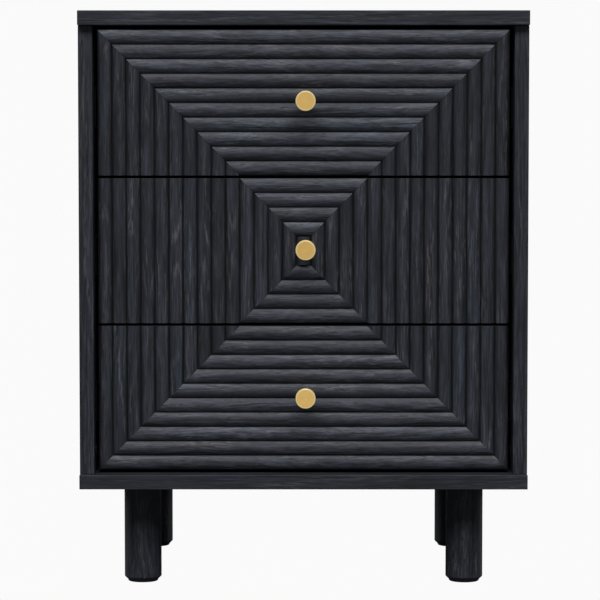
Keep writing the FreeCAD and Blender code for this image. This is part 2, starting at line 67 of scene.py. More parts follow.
# Knobs and legs, turned on a lathe
LATHE_SIDES = 128
STEM_RADIUS = 5.0 * MM
STEM_CLEARANCE = 0.5 * MM
BORE_SIDES = 48
BORE_DEPTH = 20 * MM
KNOB_HEAD = 8.0 * MM
KNOB_RIM = 0.5 * MM
KNOB_SOFTENING = 0.12 * MM
LEG_CHAMFER = 3.5 * MM
LEG_SOFTENING = 0.5 * MM

# Stained wood
STAIN = (0.0142, 0.0172, 0.0252, 1)
# The level reeds are stained lighter and the upright ones darker than STAIN: painted light and painted shade
# for how light catches the grain running across and along.
LEVEL_STAIN_PAINTED_LIGHT = (0.0245, 0.0271, 0.0368, 1)
UPRIGHT_STAIN_PAINTED_SHADE = (0.0113, 0.0135, 0.0195, 1)
STREAK = (0.080, 0.081, 0.091, 1)
PORE = (0.004, 0.004, 0.005, 1)
WOOD_DULLNESS = 0.57
LEVEL_DULLNESS = 0.645
WOOD_SPECULAR = 0.35
GRAIN_WANDER = 18 * MM
GRAIN_DEPTH = 0.3 * MM
WARM_STRIP = (1.03, 0.98, 1.0, 1)
COOL_STRIP = (0.93, 1.01, 1.03, 1)
FACING_END = 0.8  # how far a normal leans along the grain on a board's end

# Brass
BRASS = (0.95, 0.615, 0.19, 1)
# A lighter brass for the knob's rim: a painted highlight
RIM_BRASS_PAINTED_HIGHLIGHT = (1.0, 0.78, 0.38, 1)
TURNING_MARKS = 9000.0  # in a metre

# Studio, with the lights' power in watts
STAGE_SIZE = 60
PAGE_WHITE = (0.956, 0.956, 0.956, 1)
FLOOR_GREY = (0.12, 0.12, 0.12, 1)
SKY = (0.9, 0.95, 1.0, 1)
SKY_STRENGTH = 0.07
MIDDLE = (0.0, -0.17, 0.36)
KEY_POWER = 2330
REED_KEY_POWER = 4380
REED_KEY_SHARES = {"bottom": 1.10, "middle": 1.05, "top": 1.0}
FRONT_FILL_POWER = 8
LOW_FILL_POWER = 0.24
BACK_POWER = 60
CAMERA_PLACE = (0.0014, -3.253, 0.5223)
CAMERA_AIM = (-0.0039, -0.197, 0.3248)
CAMERA_LENS = 165.5

chance = random.Random(7)


# ---------------------------------------------------------------- modelling by hand

def deselect_all():
    if bpy.context.object and bpy.context.object.mode != "OBJECT":
        bpy.ops.object.mode_set(mode="OBJECT")
    bpy.ops.object.select_all(action="DESELECT")


def take(piece):
    """Selects one piece only and makes it the active one."""
    deselect_all()
    piece.select_set(True)
    bpy.context.view_layer.objects.active = piece


def edit(piece):
    """Opens a piece in edit mode with all of it selected."""
    take(piece)
    bpy.ops.object.mode_set(mode="EDIT")
    bpy.ops.mesh.select_mode(type="VERT")
    bpy.ops.mesh.select_all(action="SELECT")


def leave_edit():
    bpy.ops.object.mode_set(mode="OBJECT")


def select_faces(piece, chosen):
    """In edit mode, selects the faces that a test picks by their place and normal."""
    bpy.ops.mesh.select_mode(type="FACE")
    bpy.ops.mesh.select_all(action="DESELECT")
    shape = bmesh.from_edit_mesh(piece.data)
    for face in shape.faces:
        face.select = chosen(face)
    shape.select_flush_mode()
    bmesh.update_edit_mesh(piece.data)


def settle(piece):
    """Moves the object's place and turn into its mesh."""
    take(piece)
    bpy.ops.object.transform_apply(location=True, rotation=True, scale=True)


def name_new(name):
    piece = bpy.context.object
    piece.name = name
    piece.data.name = name
    return piece


def own_copy(piece, name):
    """A copy of a piece with a mesh of its own."""
    copy = piece.copy()
    copy.data = piece.data.copy()
    copy.name = name
    copy.data.name = name
    bpy.context.scene.collection.objects.link(copy)
    return copy


def remove(piece):
    mesh = piece.data
    bpy.data.objects.remove(piece)
    bpy.data.meshes.remove(mesh)


def join(pieces, name):
    take(pieces[0])
    for piece in pieces:
        piece.select_set(True)
    bpy.ops.object.join()
    return name_new(name)


def apply_modifier(piece, kind, **settings):
    take(piece)
    modifier = piece.modifiers.new(kind.lower(), kind)
    for key, value in settings.items():
        setattr(modifier, key, value)
    bpy.ops.object.modifier_apply(modifier=modifier.name)


def soften(piece, width, segments, angle):
    """Rounds the edges sharper than an angle in degrees, and shades the rest smooth."""
    apply_modifier(piece, "BEVEL", width=width, segments=segments, limit_method="ANGLE",
                   angle_limit=math.radians(angle), use_clamp_overlap=True)
    take(piece)
    bpy.ops.object.shade_smooth_by_angle(angle=math.radians(angle))
    apply_modifier(piece, "WEIGHTED_NORMAL", mode="FACE_AREA", keep_sharp=True)


def saw(piece, point, normal):
    """Cuts off what lies on the side that the normal points to, and closes the cut."""
    edit(piece)
    bpy.ops.mesh.bisect(plane_co=point, plane_no=normal, use_fill=True, clear_outer=True)
    leave_edit()


def turn_on_lathe(name, outline):
    """A turned piece along +Z from (radius, height) points: each step is an extrude and a resize."""
    radius, height = outline[0]
    deselect_all()
    bpy.ops.mesh.primitive_circle_add(vertices=LATHE_SIDES, radius=radius, fill_type="NGON",
                                      location=(0, 0, height))
    piece = name_new(name)
    settle(piece)
    edit(piece)
    bpy.ops.mesh.select_mode(type="FACE")
    bpy.ops.mesh.select_all(action="SELECT")
    for next_radius, next_height in outline[1:]:
        step = {"value": (0, 0, next_height - height)}
        share = next_radius / radius
        bpy.ops.mesh.extrude_region_move(TRANSFORM_OT_translate=step)
        bpy.ops.transform.resize(value=(share, share, 1), center_override=(0, 0, next_height))
        radius, height = next_radius, next_height
    bpy.ops.mesh.select_all(action="SELECT")
    bpy.ops.mesh.normals_make_consistent(inside=False)
    leave_edit()
    return piece


# ---------------------------------------------------------------- material wiring

class Wiring:
    """Adds nodes to a tree. An input is a value, or a socket to link from."""

    def __init__(self, tree):
        self.tree = tree

    def give(self, value, socket):
        if isinstance(value, bpy.types.NodeSocket):
            self.tree.links.new(value, socket)
        else:
            socket.default_value = value

    def add(self, kind, inputs=None, **settings):
        made = self.tree.nodes.new("ShaderNode" + kind)
        for key, value in settings.items():
            setattr(made, key, value)
        for key, value in (inputs or {}).items():
            self.give(value, made.inputs[key])
        return made

    def math(self, operation, *values, clamp=False):
        inputs = dict(enumerate(values))
        return self.add("Math", inputs, operation=operation, use_clamp=clamp).outputs[0]

    def vector_math(self, operation, first, second):
        return self.add("VectorMath", {0: first, 1: second}, operation=operation).outputs[0]

    def stretched(self, vector, along, across):
        """Scales a place by one number along X and another across it."""
        return self.vector_math("MULTIPLY", vector, self.vector(along, across, across))

    def vector(self, x, y, z):
        parts = (x, y, z)
        if any(isinstance(part, bpy.types.NodeSocket) for part in parts):
            return self.add("CombineXYZ", dict(enumerate(parts))).outputs[0]
        return parts

    def noise(self, vector, along, across, detail=2.0, roughness=0.5):
        """Noise with so many waves in a metre along X, and so many across it."""
        inputs = {"Vector": self.stretched(vector, along, across), "Scale": 1.0, "Detail": detail,
                  "Roughness": roughness}
        return self.add("TexNoise", inputs).outputs["Fac"]

    def ramp(self, value, low, high, to_low=0.0, to_high=1.0):
        """Maps low to high onto another range, with smooth ends."""
        inputs = {"Value": value, "From Min": low, "From Max": high, "To Min": to_low, "To Max": to_high}
        return self.add("MapRange", inputs, interpolation_type="SMOOTHSTEP").outputs["Result"]

    def swing(self, value, amount, low=0.3, high=0.7):
        """Turns a noise into a factor that swings around 1."""
        return self.ramp(value, low, high, 1.0 - amount, 1.0 + amount)

    def mix_colour(self, share, first, second):
        inputs = {0: share, 6: first, 7: second}
        return self.add("Mix", inputs, data_type="RGBA", blend_type="MIX").outputs[2]

    def tinted(self, first, second):
        """One colour multiplied by another."""
        inputs = {0: 1.0, 6: first, 7: second}
        return self.add("Mix", inputs, data_type="RGBA", blend_type="MULTIPLY").outputs[2]

    def shaded(self, colour, factor):
        """A colour multiplied by a single value."""
        grey = self.add("CombineColor", {0: factor, 1: factor, 2: factor}).outputs[0]
        return self.tinted(colour, grey)


def new_group(name, inputs, outputs):
    """A node group with named sockets; returns its tree, wiring, inputs and output sockets."""
    tree = bpy.data.node_groups.new(name, "ShaderNodeTree")
    for socket, kind, value in inputs:
        made = tree.interface.new_socket(name=socket, in_out="INPUT", socket_type="NodeSocket" + kind)
        if value is not None:
            made.default_value = value
    for socket, kind in outputs:
        tree.interface.new_socket(name=socket, in_out="OUTPUT", socket_type="NodeSocket" + kind)
    given = tree.nodes.new("NodeGroupInput").outputs
    out = tree.nodes.new("NodeGroupOutput").inputs
    return tree, Wiring(tree), given, out


def wandering(w, place, wander):
    """Lets the grain drift sideways as it runs, so that its lines aren't straight."""
    inputs = {"Vector": w.stretched(place, 5.0, 14.0), "Scale": 1.0, "Detail": 0.0}
    drift = w.vector_math("SUBTRACT", w.add("TexNoise", inputs).outputs["Color"], (0.5, 0.5, 0.5))
    reach = w.math("MULTIPLY", wander, GRAIN_WANDER)
    return w.vector_math("ADD", place, w.stretched(drift, 0.0, reach))


def pale_marks(w, grain, board):
    """Where the wood shows pale through the stain: streaks, flecks and arches, in patches.

    The arches are contour lines of a broad noise over the whole board, broken into specks.
    """
    sweeps = w.ramp(w.noise(grain, 14.0, 230.0, 4.0, 0.75), 0.53, 0.70)
    flecks = w.ramp(w.noise(grain, 42.0, 560.0, 3.0, 0.7), 0.57, 0.64)
    contours = w.math("MULTIPLY", w.noise(board, 6.5, 42.0, 1.0, 0.4), 18.0)
    arches = w.ramp(w.math("PINGPONG", contours, 1.0), 0.45, 0.9)
    specks = w.ramp(w.noise(grain, 110.0, 800.0, 2.0, 0.6), 0.47, 0.59)
    arches = w.math("MULTIPLY", arches, specks)
    marks = w.math("ADD", w.math("MULTIPLY", sweeps, 0.4), w.math("MULTIPLY", flecks, 0.6))
    marks = w.math("ADD", marks, w.math("MULTIPLY", arches, 0.9), clamp=True)
    patches = w.ramp(w.noise(board, 11.0, 45.0), 0.38, 0.66, 0.15, 1.0)
    return w.math("MULTIPLY", marks, patches)


def make_grain_group():
    """Open-grained timber under a dark stain. The grain runs along X of the Vector, in metres.

    Figure is the same place without the shifts of single strips: arches of grain run on across them.
    """
    tree, w, given, out = new_group(
        "open_grain",
        [("Vector", "Vector", None), ("Figure", "Vector", None), ("Stain", "Color", STAIN),
         ("Streak", "Color", STREAK), ("Pore", "Color", PORE), ("Streaks", "Float", 0.5),
         ("Shortness", "Float", 1.0), ("Wander", "Float", 1.0), ("Dullness", "Float", WOOD_DULLNESS)],
        [("Color", "Color"), ("Roughness", "Float"), ("Height", "Float")])
    board = w.stretched(given["Figure"], given["Shortness"], 1.0)
    grain = wandering(w, w.stretched(given["Vector"], given["Shortness"], 1.0), given["Wander"])

    bands = w.noise(grain, 22.0, 310.0, 2.0, 0.6)
    fibres = w.noise(grain, 48.0, 540.0, 2.0, 0.7)
    hairs = w.noise(grain, 110.0, 1400.0, 2.0, 0.6)
    lines = w.ramp(w.noise(grain, 9.0, 330.0, 1.0, 0.5), 0.56, 0.66)
    pores = w.ramp(w.noise(grain, 90.0, 1500.0, 1.0), 0.6, 0.74)
    light = w.math("MULTIPLY", pale_marks(w, grain, board), given["Streaks"])

    tone = w.swing(w.noise(grain, 6.0, 110.0), 0.18, 0.25, 0.75)
    for layer, amount in ((w.noise(grain, 1.6, 24.0), 0.12), (bands, 0.34), (fibres, 0.45), (hairs, 0.25)):
        tone = w.math("MULTIPLY", tone, w.swing(layer, amount))
    tone = w.math("MULTIPLY", tone, w.ramp(lines, 0.0, 1.0, 1.0, 0.5))
    streaked = w.mix_colour(light, w.shaded(given["Stain"], tone), given["Streak"])
    w.give(w.mix_colour(w.math("MULTIPLY", pores, 0.7), streaked, given["Pore"]), out["Color"])

    rough = w.math("ADD", given["Dullness"], w.ramp(bands, 0.3, 0.7, -0.05, 0.05))
    rough = w.math("ADD", rough, w.math("MULTIPLY", pores, 0.2))
    w.give(w.math("SUBTRACT", rough, w.math("MULTIPLY", light, 0.08)), out["Roughness"])

    relief = w.math("ADD", w.math("MULTIPLY", fibres, 0.9), w.math("MULTIPLY", bands, 0.5))
    relief = w.math("SUBTRACT", relief, w.math("MULTIPLY", lines, 0.35))
    w.give(w.math("SUBTRACT", relief, w.math("MULTIPLY", pores, 0.5)), out["Height"])
    return tree


def make_handling_group():
    """Faint marks of handling and polishing: a value around 1 that shades a colour or roughness."""
    tree, w, given, out = new_group(
        "handling", [("Vector", "Vector", None), ("Scale", "Float", 20.0), ("Amount", "Float", 0.1)],
        [("Shade", "Float")])
    inputs = {"Vector": given["Vector"], "Scale": given["Scale"], "Detail": 5.0, "Roughness": 0.65}
    cloud = w.math("SUBTRACT", w.add("TexNoise", inputs).outputs["Fac"], 0.5)
    swing = w.math("MULTIPLY", cloud, w.math("MULTIPLY", given["Amount"], 2.0))
    w.give(w.math("ADD", swing, 1.0), out["Shade"])
    return tree


GRAIN = make_grain_group()
HANDLING = make_handling_group()


def new_material(name):
    """A material with a Principled shader; returns it, its wiring and the shader's inputs."""
    material = bpy.data.materials.new(name)
    material.use_nodes = True
    return material, Wiring(material.node_tree), material.node_tree.nodes["Principled BSDF"].inputs


def place_group(w, tree, inputs):
    """Places a node group in a material; returns its outputs."""
    made = w.add("Group", node_tree=tree)
    for key, value in inputs.items():
        w.give(value, made.inputs[key])
    return made.outputs


def object_place(w):
    return w.add("TexCoord").outputs["Object"]


def handling_marks(w, place, scale, amount):
    return place_group(w, HANDLING, {"Vector": place, "Scale": scale, "Amount": amount})["Shade"]


# Turns that bring the grain from an axis of the piece to X
TURNS = {"X": (0, 0, 0), "Y": (0, 0, -math.pi / 2), "Z": (0, math.pi / 2, 0)}
BAND_SHIFT = (0.3, 0.2, 0.1)


def along_grain(w, axis, band=None):
    """Object coordinates turned so that the grain, along X, Y or Z of the piece, is along X.

    band is the direction of the grain on the strips that cover a board's ends.
    """
    coordinates = w.add("TexCoord").outputs
    place = w.add("Mapping", {"Vector": coordinates["Object"], "Rotation": TURNS[axis]}).outputs[0]
    if not band:
        return place
    inputs = {"Vector": coordinates["Object"], "Rotation": TURNS[band], "Location": BAND_SHIFT}
    on_band = w.add("Mapping", inputs).outputs[0]
    facing = w.add("SeparateXYZ", {0: coordinates["Normal"]}).outputs[axis]
    end = w.math("GREATER_THAN", w.math("ABSOLUTE", facing), FACING_END)
    return w.add("Mix", {0: end, 4: place, 5: on_band}, data_type="VECTOR").outputs[1]


def bump(w, shader, height, strength, distance):
    inputs = {"Height": height, "Strength": strength, "Distance": distance}
    w.give(w.add("Bump", inputs).outputs[0], shader["Normal"])


def own_tone(w, colour, strip):
    """Gives each strip a hue and a tone of its own, by its number from 0 to 1."""
    hue = w.math("FRACT", w.math("MULTIPLY", strip, 7.0))
    hue = w.mix_colour(hue, WARM_STRIP, COOL_STRIP)
    return w.shaded(w.tinted(colour, hue), w.ramp(strip, 0.0, 1.0, 0.82, 1.18))


def painted_groove_shade(w, crest, foot):
    """Painted shade: darkens towards the grooves between the reeds, from one depth in Y to another."""
    depth = w.add("SeparateXYZ", {0: object_place(w)}).outputs["Y"]
    return w.ramp(depth, crest, foot, 1.0, 0.15)


def stained_wood(name, axis, stain=STAIN, streak=STREAK, streaks=0.7, shortness=1.0, wander=1.0,
                 dullness=WOOD_DULLNESS, band=None, strips=False, painted_shade_depths=None):
    """Black-stained timber. strips is for reeds; the last argument gives the depths between which painted
    shade darkens them.
    """
    material, w, shader = new_material(name)
    figure = place = along_grain(w, axis, band)
    if strips:
        strip = w.add("Attribute", attribute_name="strip").outputs["Fac"]
        shift = w.vector_math("MULTIPLY", w.vector(strip, strip, strip), (3.1, 1.7, 2.3))
        place = w.vector_math("ADD", place, shift)
    grain = place_group(w, GRAIN, {
        "Vector": place, "Figure": figure, "Stain": stain, "Streak": streak, "Pore": PORE,
        "Streaks": streaks, "Shortness": shortness, "Wander": wander, "Dullness": dullness})
    colour = grain["Color"]
    if strips:
        colour = own_tone(w, colour, strip)
    # Painted shade towards the grooves between the reeds
    if painted_shade_depths:
        colour = w.shaded(colour, painted_groove_shade(w, *painted_shade_depths))
    w.give(colour, shader["Base Color"])
    w.give(grain["Roughness"], shader["Roughness"])
    w.give(WOOD_SPECULAR, shader["Specular IOR Level"])
    bump(w, shader, grain["Height"], 0.35, GRAIN_DEPTH)
    return material


def foil_board(name, axis, colour, light):
    """Drawer board faced with a dark foil printed with a fine grain."""
    material, w, shader = new_material(name)
    place = along_grain(w, axis)
    lines = w.noise(place, 8.0, 500.0, 4.0, 0.6)
    w.give(w.mix_colour(w.ramp(lines, 0.35, 0.75), colour, light), shader["Base Color"])
    w.give(w.math("MULTIPLY", handling_marks(w, place, 14.0, 0.15), 0.55), shader["Roughness"])
    bump(w, shader, lines, 0.15, 0.2 * MM)
    return material


def plated_metal(name, colour, roughness, brushing=900.0, stains=0.1):
    """Metal with drawing marks along Y and faint stains."""
    material, w, shader = new_material(name)
    place = along_grain(w, "Y")
    marks = w.noise(place, 6.0, brushing, 3.0, 0.6)
    tone = w.math("MULTIPLY", handling_marks(w, place, 30.0, stains), w.ramp(marks, 0.3, 0.7, 0.94, 1.04))
    w.give(w.shaded(colour, tone), shader["Base Color"])
    w.give(1.0, shader["Metallic"])
    w.give(w.ramp(marks, 0.3, 0.7, roughness * 0.85, roughness * 1.2), shader["Roughness"])
    bump(w, shader, marks, 0.12, 0.05 * MM)
    return material


def satin_brass(name, radius):
    """Turned brass with a satin lacquer, and a rim painted a lighter brass as a painted highlight. Its marks
    follow the turning map.
    """
    material, w, shader = new_material(name)
    turning = w.add("UVMap", uv_map="turning").outputs[0]
    out = w.add("SeparateXYZ", {0: turning}).outputs["X"]
    inputs = {"W": w.math("MULTIPLY", out, TURNING_MARKS), "Scale": 1.0, "Detail": 3.0}
    rings = w.add("TexNoise", inputs, noise_dimensions="1D").outputs["Fac"]
    marks = handling_marks(w, object_place(w), 160.0, 0.12)
    tone = w.math("MULTIPLY", marks, w.ramp(rings, 0.3, 0.7, 0.96, 1.03))
    # The rim is painted lighter and less metallic: a painted highlight
    rim_painted_highlight = w.ramp(out, radius - 2.0 * MM, radius - 1.2 * MM)
    w.give(w.shaded(w.mix_colour(rim_painted_highlight, BRASS, RIM_BRASS_PAINTED_HIGHLIGHT), tone), shader["Base Color"])
    w.give(w.ramp(rim_painted_highlight, 0.0, 1.0, 0.5, 0.4), shader["Metallic"])
    w.give(w.ramp(rings, 0.3, 0.7, 0.34, 0.44), shader["Roughness"])
    bump(w, shader, rings, 0.2, 0.04 * MM)
    return material


def moulded_plastic(name, colour):
    """Plastic with a fine moulded texture, rubbed unevenly."""
    material, w, shader = new_material(name)
    place = object_place(w)
    texture = w.noise(place, 2500.0, 2500.0)
    w.give(w.shaded(colour, handling_marks(w, place, 60.0, 0.3)), shader["Base Color"])
    w.give(w.ramp(texture, 0.3, 0.7, 0.5, 0.7), shader["Roughness"])
    bump(w, shader, texture, 0.3, 0.1 * MM)
    return material


# ---------------------------------------------------------------- sizes taken from the frame

reeds_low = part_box("top_drawer_reeds")[0]
board_low, board_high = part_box("top_drawer_front_board")
CREST = reeds_low.y
FOOT = board_low.y
HALF_FRONT = board_high.x
FRONT_HEIGHT = board_high.z - board_low.z
PITCH_ACROSS = 2 * HALF_FRONT / (2 * RINGS + 1)
PITCH_UP = FRONT_HEIGHT / REEDS_PER_FRONT


# ---------------------------------------------------------------- reeds

def reed_master(name, pitch, length, upright):
    """A long half-round strip: a rod cut to an arc, with a thin square edge behind it."""
    half = (pitch - REED_GAP) / 2
    rise = FOOT - CREST - REED_EDGE
    radius = (half * half + rise * rise) / (2 * rise)
    turn = (0, 0, 0) if upright else (0, math.pi / 2, 0)
    deselect_all()
    bpy.ops.mesh.primitive_cylinder_add(vertices=REED_SIDES, radius=radius, depth=length,
                                        location=(0, CREST + radius, 0), rotation=turn)
    piece = name_new(name)
    settle(piece)
    edit(piece)
    bpy.ops.mesh.bisect(plane_co=(0, CREST + rise, 0), plane_no=(0, 1, 0), use_fill=True, clear_outer=True)
    select_faces(piece, lambda face: face.normal.y > 0.99)
    bpy.ops.mesh.extrude_region_move(TRANSFORM_OT_translate={"value": (0, REED_EDGE, 0)})
    leave_edit()
    return piece


def ring_half(ring):
    """How far a ring starts from the middle, across the front."""
    return HALF_FRONT - ring * PITCH_ACROSS


def ring_high(index, ring):
    """Where the upper run of a ring starts on a front, or the front's upper edge."""
    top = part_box(DRAWERS[index] + "_drawer_front_board")[1].z
    return top - PITCH_UP * max(0, ring - (len(DRAWERS) - 1 - index) * REEDS_PER_FRONT)


def ring_low(index, ring):
    """Where the lower run of a ring starts on a front, or the front's lower edge."""
    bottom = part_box(DRAWERS[index] + "_drawer_front_board")[0].z
    return bottom + PITCH_UP * max(0, ring - index * REEDS_PER_FRONT)


def place_reed(master, x, z, material):
    reed = own_copy(master, "reed")
    reed.location = (x, 0, z)
    settle(reed)
    reed.data.materials.append(material)
    return reed


def number_strip(reed):
    """Gives a reed a number of its own, by which its grain and tone differ from its neighbours'."""
    number = chance.random()
    strip = reed.data.attributes.new("strip", "FLOAT", "POINT")
    strip.data.foreach_set("value", [number] * len(reed.data.vertices))


def cut_mitre(reed, side, outer, inner, away):
    """Cuts a reed along the line from a ring's outer corner to its inner one.

    away says which side goes: 1 for the side above the line, -1 for the side below it.
    """
    run = Vector((side * (inner[0] - outer[0]), 0, inner[1] - outer[1])).normalized()
    normal = Vector((-run.z, 0, run.x))
    if normal.z * away < 0:
        normal.negate()
    point = Vector((side * outer[0], 0, outer[1])) - normal * MITRE_GAP / 2
    saw(reed, point, normal)


def upright_reeds(index, master, material):
    reeds = []
    for ring in range(RINGS):
        outer, inner = ring_half(ring), ring_half(ring + 1)
        high, high_inner = ring_high(index, ring), ring_high(index, ring + 1)
        low, low_inner = ring_low(index, ring), ring_low(index, ring + 1)
        if high - low < PITCH_UP / 2:
            break
        for side in (-1, 1):
            reed = place_reed(master, side * (outer + inner) / 2, (high + low) / 2, material)
            if high_inner < high - PITCH_UP / 2:
                cut_mitre(reed, side, (outer, high), (inner, high_inner), 1)
            else:
                saw(reed, (0, 0, high), (0, 0, 1))
            if low_inner > low + PITCH_UP / 2:
                cut_mitre(reed, side, (outer, low), (inner, low_inner), -1)
            else:
                saw(reed, (0, 0, low), (0, 0, -1))
            number_strip(reed)
            reeds.append(reed)
    return reeds


def level_reeds(index, master, material):
    reeds = []
    for ring in range(RINGS):
        outer, inner = ring_half(ring), ring_half(ring + 1)
        for edge, away in ((ring_high, -1), (ring_low, 1)):
            start, end = edge(index, ring), edge(index, ring + 1)
            middle = (start + end) / 2
            inside = ring_low(index, 0) < middle < ring_high(index, 0)
            if abs(end - start) < PITCH_UP / 2 or not inside:
                continue
            reed = place_reed(master, 0, middle, material)
            for side in (-1, 1):
                cut_mitre(reed, side, (outer, start), (inner, end), away)
            number_strip(reed)
            reeds.append(reed)
    return reeds


def centre_reed(index, master, material):
    """The one narrow strip inside the last ring, on the front that holds the middle."""
    high, low = ring_high(index, RINGS), ring_low(index, RINGS)
    if high - low < PITCH_UP / 2:
        return []
    reed = place_reed(master, 0, (high + low) / 2, material)
    saw(reed, (0, 0, high - REED_GAP / 2), (0, 0, 1))
    saw(reed, (0, 0, low + REED_GAP / 2), (0, 0, -1))
    number_strip(reed)
    return [reed]


def bore_for_stem(piece, drawer):
    """Bores the hole that the knob's stem passes through."""
    low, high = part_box(drawer + "_drawer_knob")
    centre = (low + high) / 2
    deselect_all()
    bpy.ops.mesh.primitive_cylinder_add(vertices=BORE_SIDES, radius=STEM_RADIUS + STEM_CLEARANCE,
                                        depth=BORE_DEPTH, location=(centre.x, CREST, centre.z),
                                        rotation=(math.pi / 2, 0, 0))
    drill = name_new("drill")
    settle(drill)
    apply_modifier(piece, "BOOLEAN", operation="DIFFERENCE", object=drill, solver="EXACT")
    remove(drill)


def make_reeds():
    """The three reeded fronts, in the order of DRAWERS."""
    # Painted light and shade: the level reeds are stained lighter, the upright ones darker, and both darken
    # towards their grooves
    across = stained_wood("reed_across_grain_painted_light_and_shade", "X", LEVEL_STAIN_PAINTED_LIGHT, streaks=0.8, dullness=LEVEL_DULLNESS,
                          strips=True, painted_shade_depths=(CREST + 1.9 * MM, FOOT - 1.0 * MM))
    upright = stained_wood("reed_upright_grain_painted_shade", "Z", UPRIGHT_STAIN_PAINTED_SHADE, streaks=0.8, shortness=0.6, strips=True,
                           painted_shade_depths=(CREST + 1.2 * MM, FOOT - 2.0 * MM))
    level_master = reed_master("level_master", PITCH_UP, 2 * HALF_FRONT, False)
    upright_master = reed_master("upright_master", PITCH_ACROSS, FRONT_HEIGHT + REED_SPARE, True)
    fronts = []
    for index, drawer in enumerate(DRAWERS):
        reeds = level_reeds(index, level_master, across) + upright_reeds(index, upright_master, upright)
        reeds += centre_reed(index, upright_master, upright)
        piece = join(reeds, drawer + "_drawer_reeded_front")
        bore_for_stem(piece, drawer)
        soften(piece, REED_SOFTENING, segments=2, angle=30)
        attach(piece, drawer + "_drawer")
        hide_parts(drawer + "_drawer_reeds")
        fronts.append(piece)
    remove(level_master)
    remove(upright_master)
    return fronts


# ---------------------------------------------------------------- knobs and legs

def knob_outline(radius, length):
    """(radius, height) points from the seat on the board to near the middle of the face."""
    head = length - KNOB_HEAD
    stem = [(STEM_RADIUS, 0), (STEM_RADIUS, head - 3 * MM)]
    flare = [(STEM_RADIUS + 0.6 * MM, head - 1.2 * MM), (STEM_RADIUS + 2.0 * MM, head - 0.2 * MM)]
    back = [(radius - 1.2 * MM, head), (radius, head + 1.0 * MM)]
    rim = [(radius, length - KNOB_RIM), (radius - KNOB_RIM, length)]
    face = [(radius - KNOB_RIM - 0.3 * MM, length), (1.5 * MM, length)]
    return stem + flare + back + rim + face


def add_turning_map(piece, centre):
    """A UV map of each corner's distance from the knob's axis, and the angle around it."""
    layer = piece.data.uv_layers.new(name="turning")
    for loop in piece.data.loops:
        at = piece.data.vertices[loop.vertex_index].co - centre
        layer.data[loop.index].uv = (math.hypot(at.x, at.z), math.atan2(at.z, at.x))


def make_knobs():
    """The three knobs, in the order of DRAWERS."""
    low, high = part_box("top_drawer_knob")
    radius = (high.x - low.x) / 2
    brass = satin_brass("satin_brass", radius)
    master = turn_on_lathe("knob_master", knob_outline(radius, high.y - low.y))
    soften(master, KNOB_SOFTENING, segments=2, angle=25)
    master.data.materials.append(brass)
    knobs = []
    for drawer in DRAWERS:
        low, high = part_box(drawer + "_drawer_knob")
        knob = own_copy(master, drawer + "_drawer_turned_knob")
        centre = (low + high) / 2
        knob.rotation_euler = (math.pi / 2, 0, 0)
        knob.location = (centre.x, high.y, centre.z)
        settle(knob)
        add_turning_map(knob, centre)
        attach(knob, drawer + "_drawer")
        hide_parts(drawer + "_drawer_knob")
        knobs.append(knob)
    remove(master)
    return knobs


def leg_outline(radius, length):
    """(radius, height) points from the foot, with its chamfer, to the top of a leg."""
    foot = [(radius - LEG_CHAMFER - 0.4 * MM, 0), (radius - LEG_CHAMFER, 0.2 * MM), (radius, LEG_CHAMFER)]
    top = [(radius, length - 0.8 * MM), (radius - 0.8 * MM, length)]
    return foot + top


def make_legs():
    wood = stained_wood("leg_grain", "Z", streaks=0.6, wander=0.25)
    low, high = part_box("front_left_leg")
    master = turn_on_lathe("leg_master", leg_outline((high.x - low.x) / 2, high.z - low.z))
    soften(master, LEG_SOFTENING, segments=3, angle=30)
    master.data.materials.append(wood)
    for name in LEGS:
        low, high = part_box(name + "_leg")
        leg = own_copy(master, name + "_turned_leg")
        leg.location = ((low.x + high.x) / 2, (low.y + high.y) / 2, low.z)
        settle(leg)
        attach(leg, "carcass")
        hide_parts(name + "_leg")
    remove(master)


# ---------------------------------------------------------------- finishes of the CAD nodes

def panel_grain(axis):
    """Stained boards with long streaks. The strips on their ends have grain along Y."""
    return stained_wood("panel_grain_" + axis.lower(), axis, streaks=0.6, shortness=0.5, wander=0.7,
                        band="Y")


def drawer_foil(axis):
    return foil_board("drawer_foil_" + axis.lower(), axis, (0.020, 0.0195, 0.019, 1),
                      (0.045, 0.043, 0.041, 1))


def slot_materials():
    """The materials by the record's slots."""
    return {
        "stained_wood": panel_grain("X"),
        "black_board": foil_board("black_board", "X", (0.004, 0.004, 0.0045, 1), (0.010, 0.010, 0.011, 1)),
        "runner_steel": plated_metal("blackened_steel", (0.026, 0.027, 0.030, 1), 0.5),
        "cage_steel": plated_metal("bright_steel", (0.66, 0.66, 0.66, 1), 0.22),
        "screw_steel": plated_metal("screw_zinc", (0.50, 0.50, 0.51, 1), 0.35, brushing=2500.0),
        "cam_zinc": plated_metal("cast_zinc", (0.42, 0.42, 0.43, 1), 0.48, brushing=1500.0, stains=0.2),
        "dowel_beech": stained_wood("dowel_grain", "Z", (0.55, 0.38, 0.22, 1), (0.68, 0.50, 0.32, 1)),
        "glide_plastic": moulded_plastic("glide_plastic", (0.008, 0.008, 0.008, 1))}


def ending_materials():
    """The materials of boards whose grain or facing isn't their slot's, by the end of their names."""
    lengthways, crossways = drawer_foil("Y"), drawer_foil("X")
    hardboard = foil_board("black_hardboard", "Z", (0.010, 0.010, 0.011, 1), (0.022, 0.022, 0.023, 1))
    return {"side_panel": panel_grain("Z"), "back_panel": hardboard,
            "_drawer_left_side": lengthways, "_drawer_right_side": lengthways,
            "_drawer_back": crossways, "_drawer_bottom": crossways}


